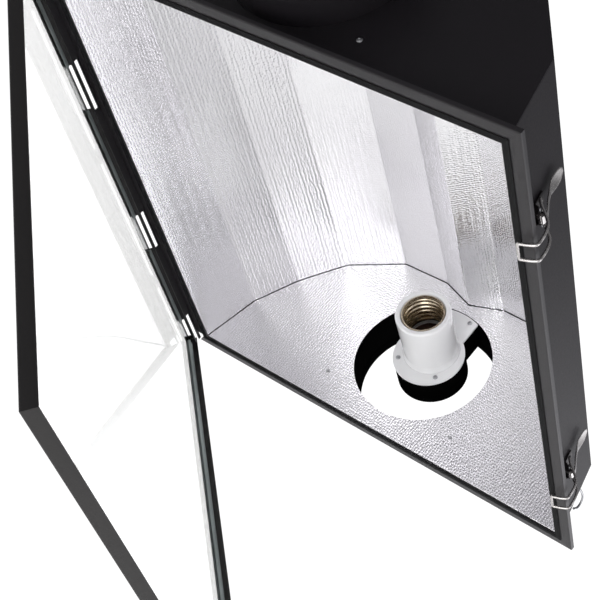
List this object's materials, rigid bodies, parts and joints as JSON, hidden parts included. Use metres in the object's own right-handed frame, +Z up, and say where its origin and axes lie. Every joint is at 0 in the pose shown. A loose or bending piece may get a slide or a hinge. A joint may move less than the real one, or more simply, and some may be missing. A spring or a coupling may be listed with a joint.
{
  "type": "grow lamp reflector hood",
  "caption": "Air-cooled grow lamp reflector hood, black steel with hammered aluminium reflector, lamp socket, round duct collars and a hinged glass door with draw latches",
  "frame": {"origin": "centre of the roof's outer face, from which the hood hangs", "axes": "+X along the lamp axis from the near duct collar to the far one that carries the socket, +Y towards the door hinge, +Z up, opening facing -Z"},
  "size_m": [0.646, 0.5051, 0.5627],
  "materials": {
    "black_casing": "satin",
    "reflector_metal": "hammered",
    "white_ceramic": "gloss",
    "white_paint": "gloss",
    "bright_metal": "polished",
    "plain_steel": "brushed",
    "brass_metal": "polished",
    "dark_plastic": "matte",
    "clear_glass": "clear",
    "black_rubber": "matte"
  },
  "bodies": {
    "hood_body": {"housing_shell": "black_casing", "near_end_wall": "black_casing", "far_end_wall": "black_casing", "lip_frame": "black_casing", "lip_gasket": "black_rubber", "reflector_hood": "reflector_metal", "reflector_near_plate": "reflector_metal", "reflector_far_plate": "reflector_metal", "duct_collar_near": "black_casing", "duct_collar_far": "black_casing", "socket_plate": "white_paint", "socket_box": "black_casing", "socket_cup": "white_ceramic", "screw_shell": "bright_metal", "socket_insulator": "dark_plastic", "centre_contact": "brass_metal", "terminal_block": "dark_plastic", "lead_gland": "black_rubber", "hinge_rod": "plain_steel", "wire_clip": "plain_steel", "socket_screw_1": "plain_steel", "socket_screw_2": "plain_steel", "socket_screw_3": "plain_steel", "socket_screw_4": "plain_steel", "hanger_lug_1": "plain_steel", "hanger_lug_2": "plain_steel", "hanger_lug_3": "plain_steel", "hanger_lug_4": "plain_steel", "latch_base_1": "bright_metal", "latch_pin_1": "plain_steel", "latch_rivet_1a": "plain_steel", "latch_rivet_1b": "plain_steel", "latch_base_2": "bright_metal", "latch_pin_2": "plain_steel", "latch_rivet_2a": "plain_steel", "latch_rivet_2b": "plain_steel", "wall_rivet_near_a": "plain_steel", "plate_rivet_near_a": "reflector_metal", "wall_rivet_near_b": "plain_steel", "plate_rivet_near_b": "reflector_metal", "wall_rivet_far_a": "plain_steel", "plate_rivet_far_a": "reflector_metal", "wall_rivet_far_b": "plain_steel", "plate_rivet_far_b": "reflector_metal"},
    "door_body": {"door_frame": "black_casing", "door_glass": "clear_glass", "glazing_bead": "black_rubber"},
    "latch_lever_body_1": {"latch_lever_1": "bright_metal"},
    "latch_bail_body_1": {"latch_bail_1": "bright_metal"},
    "latch_lever_body_2": {"latch_lever_2": "bright_metal"},
    "latch_bail_body_2": {"latch_bail_2": "bright_metal"}
  },
  "joints": [
    {"name": "door_hinge", "type": "hinge", "parent": "hood_body", "child": "door_body", "pos_m": [0, 0.2465, -0.202], "axis": [1, 0, 0], "range_deg": [-40.7, 57.8]},
    {"name": "latch_lever_hinge_1", "type": "hinge", "parent": "hood_body", "child": "latch_lever_body_1", "pos_m": [-0.172, -0.2335, -0.181], "axis": [1, 0, 0], "range_deg": [0, 120]},
    {"name": "latch_bail_hinge_1", "type": "hinge", "parent": "latch_lever_body_1", "child": "latch_bail_body_1", "pos_m": [-0.172, -0.228, -0.172], "axis": [1, 0, 0], "range_deg": [-120, 0]},
    {"name": "latch_lever_hinge_2", "type": "hinge", "parent": "hood_body", "child": "latch_lever_body_2", "pos_m": [0.183, -0.2335, -0.181], "axis": [1, 0, 0], "range_deg": [0, 120]},
    {"name": "latch_bail_hinge_2", "type": "hinge", "parent": "latch_lever_body_2", "child": "latch_bail_body_2", "pos_m": [0.183, -0.228, -0.172], "axis": [1, 0, 0], "range_deg": [-120, 0]}
  ],
  "couplings": [
    {"joint": "latch_bail_hinge_1", "follows": "latch_lever_hinge_1", "ratio": -1},
    {"joint": "latch_bail_hinge_2", "follows": "latch_lever_hinge_2", "ratio": -1}
  ]
}
